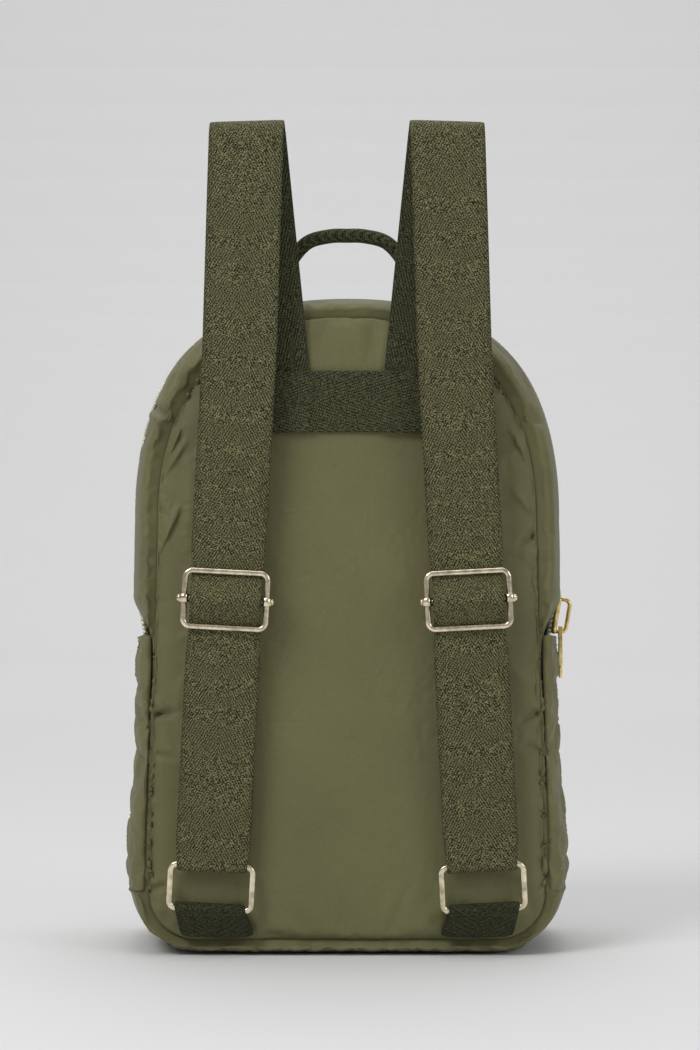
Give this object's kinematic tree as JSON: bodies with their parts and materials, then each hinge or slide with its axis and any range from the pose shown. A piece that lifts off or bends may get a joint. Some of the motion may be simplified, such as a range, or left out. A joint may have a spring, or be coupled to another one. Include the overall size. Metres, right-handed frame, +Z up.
{
  "type": "quilted puffer backpack",
  "caption": "Small arch-topped backpack in padded nylon, with a quilted front, open side pockets, a zip over the top, webbing shoulder straps with metal adjusters and a rolled handle",
  "frame": {"origin": "on the surface it stands on, under the middle of the base", "axes": "+Z up, +Y from the side that lies on the wearer's back towards the quilted front, +X towards the side with the zip slider"},
  "size_m": [0.2312, 0.1447, 0.4216],
  "materials": {
    "smooth_nylon": "matt woven olive nylon, lightly padded",
    "quilted_nylon": "matt woven olive nylon, quilted in diamonds",
    "webbing": "dark olive twill webbing",
    "zip_tape": "matt herringbone zip tape",
    "pale_gold": "polished pale gold plating",
    "zip_metal": "polished bright gold plating"
  },
  "bodies": {
    "bag": {"back_panel": "smooth_nylon", "lower_gusset": "smooth_nylon", "zip_strip_rear": "smooth_nylon", "zip_strip_front": "smooth_nylon", "front_panel": "quilted_nylon", "side_pocket_left": "quilted_nylon", "side_pocket_right": "quilted_nylon", "yoke": "webbing", "carry_handle": "webbing", "shoulder_strap_left": "webbing", "shoulder_strap_right": "webbing", "ring_tab_left": "webbing", "ring_tab_right": "webbing", "buckle_frame_left": "pale_gold", "buckle_frame_right": "pale_gold", "buckle_bar_left": "pale_gold", "buckle_bar_right": "pale_gold", "ring_left": "pale_gold", "ring_right": "pale_gold", "zip_tape": "zip_tape", "zip_teeth": "zip_metal", "zip_slider": "zip_metal"},
    "zip_pull": {"zip_pull": "zip_metal"}
  },
  "joints": [
    {"name": "zip_pull_hinge", "type": "hinge", "parent": "bag", "child": "zip_pull", "pos_m": [0.11141, -0.00717, 0.16429], "axis": [0, -1, 0], "range_deg": [0, 120]}
  ]
}
